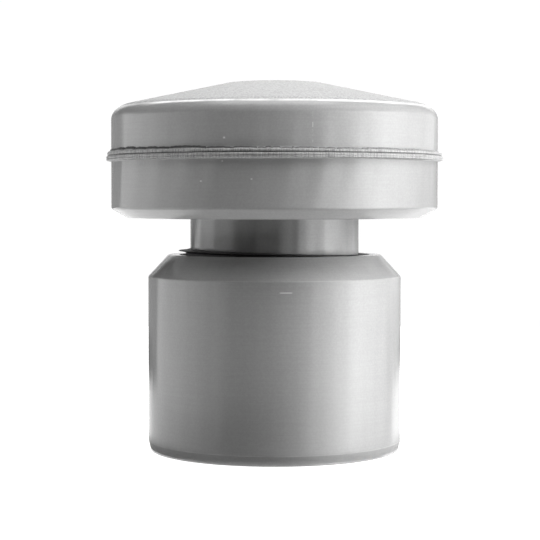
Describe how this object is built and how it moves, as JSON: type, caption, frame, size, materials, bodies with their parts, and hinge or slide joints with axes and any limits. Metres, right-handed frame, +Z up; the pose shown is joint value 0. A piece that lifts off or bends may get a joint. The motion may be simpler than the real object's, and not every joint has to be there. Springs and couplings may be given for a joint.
{
  "type": "air admittance valve",
  "caption": "Round vent valve head with a weight-closed ring membrane, on a short neck that stands in a reducing adapter with a plain spigot for a drain pipe.",
  "frame": {"origin": "centre of the spigot's lower rim, on which the part stands", "axes": "+Z up the common axis of spigot, neck and head; X and Y are alike, with the picture's camera on the -Y side"},
  "size_m": [0.0995, 0.0994, 0.1086],
  "materials": {
    "adapter_plastic": "neutral grey, satin",
    "head_plastic": "neutral grey, satin, stippled top",
    "seal_rubber": "black, matte",
    "membrane_rubber": "black, matte",
    "carrier_plastic": "off-white, satin"
  },
  "bodies": {
    "housing": {"reducing_adapter": "adapter_plastic", "neck_seal": "seal_rubber", "valve_body": "head_plastic", "cap": "head_plastic"},
    "float": {"membrane": "membrane_rubber", "membrane_carrier": "carrier_plastic"}
  },
  "joints": [
    {"name": "float_lift", "type": "slide", "parent": "housing", "child": "float", "axis": [0, 0, 1], "range_m": [0, 0.005]}
  ]
}
